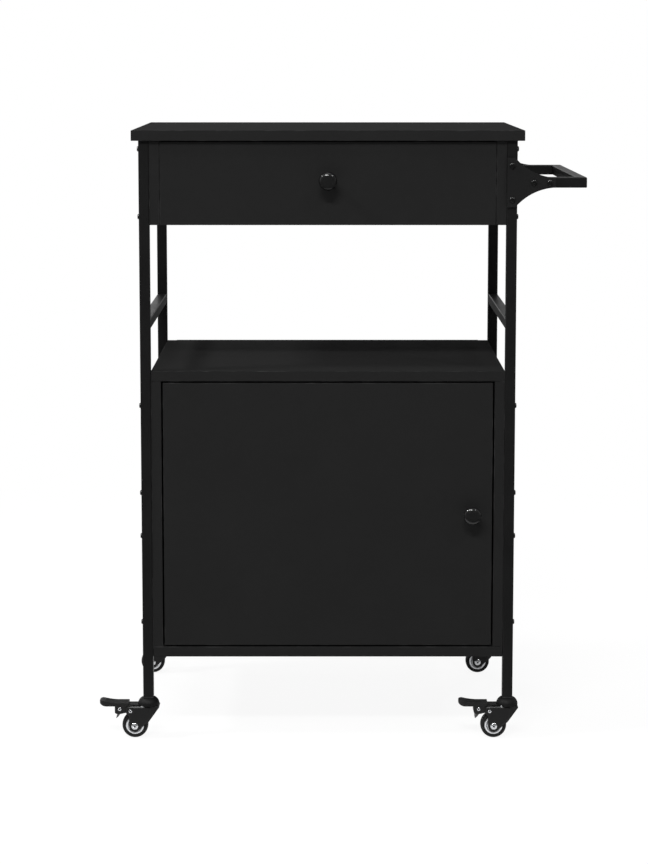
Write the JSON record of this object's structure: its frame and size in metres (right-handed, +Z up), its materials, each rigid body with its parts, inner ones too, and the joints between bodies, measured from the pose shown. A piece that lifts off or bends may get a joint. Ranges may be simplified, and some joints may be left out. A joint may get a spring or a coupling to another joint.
{
  "type": "kitchen trolley",
  "caption": "Kitchen trolley on braked swivel casters: steel tube frame, worktop, drawer, open shelf, cupboard with a hinged door, and a push handle at one end.",
  "frame": {"origin": "on the floor, under the middle of the whole trolley's outline at rest", "axes": "+X towards the handle end, +Y to the back, +Z up; the drawer and door face -Y"},
  "size_m": [0.7096, 0.3835, 0.897],
  "materials": {
    "board": "satin black melamine-faced board",
    "drawer_board": "matt black melamine-faced board",
    "hardboard": "matt black hardboard",
    "tube": "semi-gloss black powder coat",
    "bracket": "semi-gloss black powder coat",
    "black_bolt": "black zinc",
    "knob": "gloss black",
    "runner": "bright zinc",
    "zinc": "bright zinc",
    "brass": "plain",
    "nylon": "natural nylon",
    "catch": "moulded",
    "fork": "satin black",
    "axle": "bright plated",
    "hub": "bright plated",
    "tyre": "moulded",
    "pedal": "moulded, ribbed"
  },
  "bodies": {
    "frame": {"worktop": "board", "housing_side_left": "board", "cabinet_side_left": "board", "housing_side_right": "board", "cabinet_side_right": "board", "housing_back": "board", "cabinet_top": "board", "cabinet_bottom": "board", "cabinet_back": "hardboard", "leg_front_left": "tube", "leg_front_right": "tube", "leg_rear_left": "tube", "leg_rear_right": "tube", "side_rails": "tube", "leg_bolts": "black_bolt", "panel_inserts": "brass", "outer_runners": "runner", "hinge_bushes": "nylon", "magnetic_catch": "catch", "wood_screws": "zinc", "cam_bolts": "zinc", "cam_locks": "zinc", "handle": "tube", "handle_bracket_front": "bracket", "handle_bracket_rear": "bracket", "handle_bolts": "black_bolt", "handle_nuts": "black_bolt", "caster_stems": "zinc"},
    "drawer": {"drawer_front": "board", "drawer_side_left": "drawer_board", "drawer_side_right": "drawer_board", "drawer_back": "drawer_board", "drawer_bottom": "hardboard", "drawer_knob": "knob", "drawer_screws": "zinc", "inner_runners": "runner"},
    "runner_middles": {"middle_runners": "runner"},
    "door": {"door": "board", "door_knob": "knob", "door_knob_screw": "zinc", "door_pivots": "zinc", "strike_plate": "zinc"},
    "caster_front_left": {"caster_fork_front_left": "fork", "caster_axle_front_left": "axle"},
    "wheel_front_left": {"wheel_hub_front_left": "hub", "wheel_tyre_front_left": "tyre"},
    "caster_front_right": {"caster_fork_front_right": "fork", "caster_axle_front_right": "axle"},
    "wheel_front_right": {"wheel_hub_front_right": "hub", "wheel_tyre_front_right": "tyre"},
    "caster_rear_left": {"caster_fork_rear_left": "fork", "caster_axle_rear_left": "axle"},
    "wheel_rear_left": {"wheel_hub_rear_left": "hub", "wheel_tyre_rear_left": "tyre"},
    "caster_rear_right": {"caster_fork_rear_right": "fork", "caster_axle_rear_right": "axle"},
    "wheel_rear_right": {"wheel_hub_rear_right": "hub", "wheel_tyre_rear_right": "tyre"},
    "pedal_front_left": {"brake_pedal_front_left": "pedal"},
    "pedal_front_right": {"brake_pedal_front_right": "pedal"}
  },
  "joints": [
    {"name": "drawer_slide", "type": "slide", "parent": "frame", "child": "drawer", "axis": [0, -1, 0], "range_m": [0, 0.24]},
    {"name": "runner_slide", "type": "slide", "parent": "frame", "child": "runner_middles", "axis": [0, -1, 0], "range_m": [0, 0.12]},
    {"name": "door_hinge", "type": "hinge", "parent": "frame", "child": "door", "pos_m": [-0.24385, -0.15925, 0.138], "axis": [0, 0, -1], "range_deg": [0, 105]},
    {"name": "swivel_front_left", "type": "hinge", "parent": "frame", "child": "caster_front_left", "pos_m": [-0.28275, -0.16025, 0.0607], "axis": [0, 0, 1], "continuous": true},
    {"name": "roll_front_left", "type": "hinge", "parent": "caster_front_left", "child": "wheel_front_left", "pos_m": [-0.30275, -0.16025, 0.01925], "axis": [0, 1, 0], "continuous": true},
    {"name": "swivel_front_right", "type": "hinge", "parent": "frame", "child": "caster_front_right", "pos_m": [0.24725, -0.16025, 0.0607], "axis": [0, 0, 1], "continuous": true},
    {"name": "roll_front_right", "type": "hinge", "parent": "caster_front_right", "child": "wheel_front_right", "pos_m": [0.22725, -0.16025, 0.01925], "axis": [0, 1, 0], "continuous": true},
    {"name": "swivel_rear_left", "type": "hinge", "parent": "frame", "child": "caster_rear_left", "pos_m": [-0.28275, 0.17475, 0.0607], "axis": [0, 0, 1], "continuous": true},
    {"name": "roll_rear_left", "type": "hinge", "parent": "caster_rear_left", "child": "wheel_rear_left", "pos_m": [-0.30275, 0.17475, 0.01925], "axis": [0, 1, 0], "continuous": true},
    {"name": "swivel_rear_right", "type": "hinge", "parent": "frame", "child": "caster_rear_right", "pos_m": [0.24725, 0.17475, 0.0607], "axis": [0, 0, 1], "continuous": true},
    {"name": "roll_rear_right", "type": "hinge", "parent": "caster_rear_right", "child": "wheel_rear_right", "pos_m": [0.22725, 0.17475, 0.01925], "axis": [0, 1, 0], "continuous": true},
    {"name": "brake_front_left", "type": "hinge", "parent": "caster_front_left", "child": "pedal_front_left", "pos_m": [-0.30895, -0.16025, 0.042], "axis": [0, -1, 0], "range_deg": [0, 25]},
    {"name": "brake_front_right", "type": "hinge", "parent": "caster_front_right", "child": "pedal_front_right", "pos_m": [0.22105, -0.16025, 0.042], "axis": [0, -1, 0], "range_deg": [0, 25]}
  ],
  "couplings": [
    {"joint": "runner_slide", "follows": "drawer_slide", "ratio": 0.5}
  ]
}
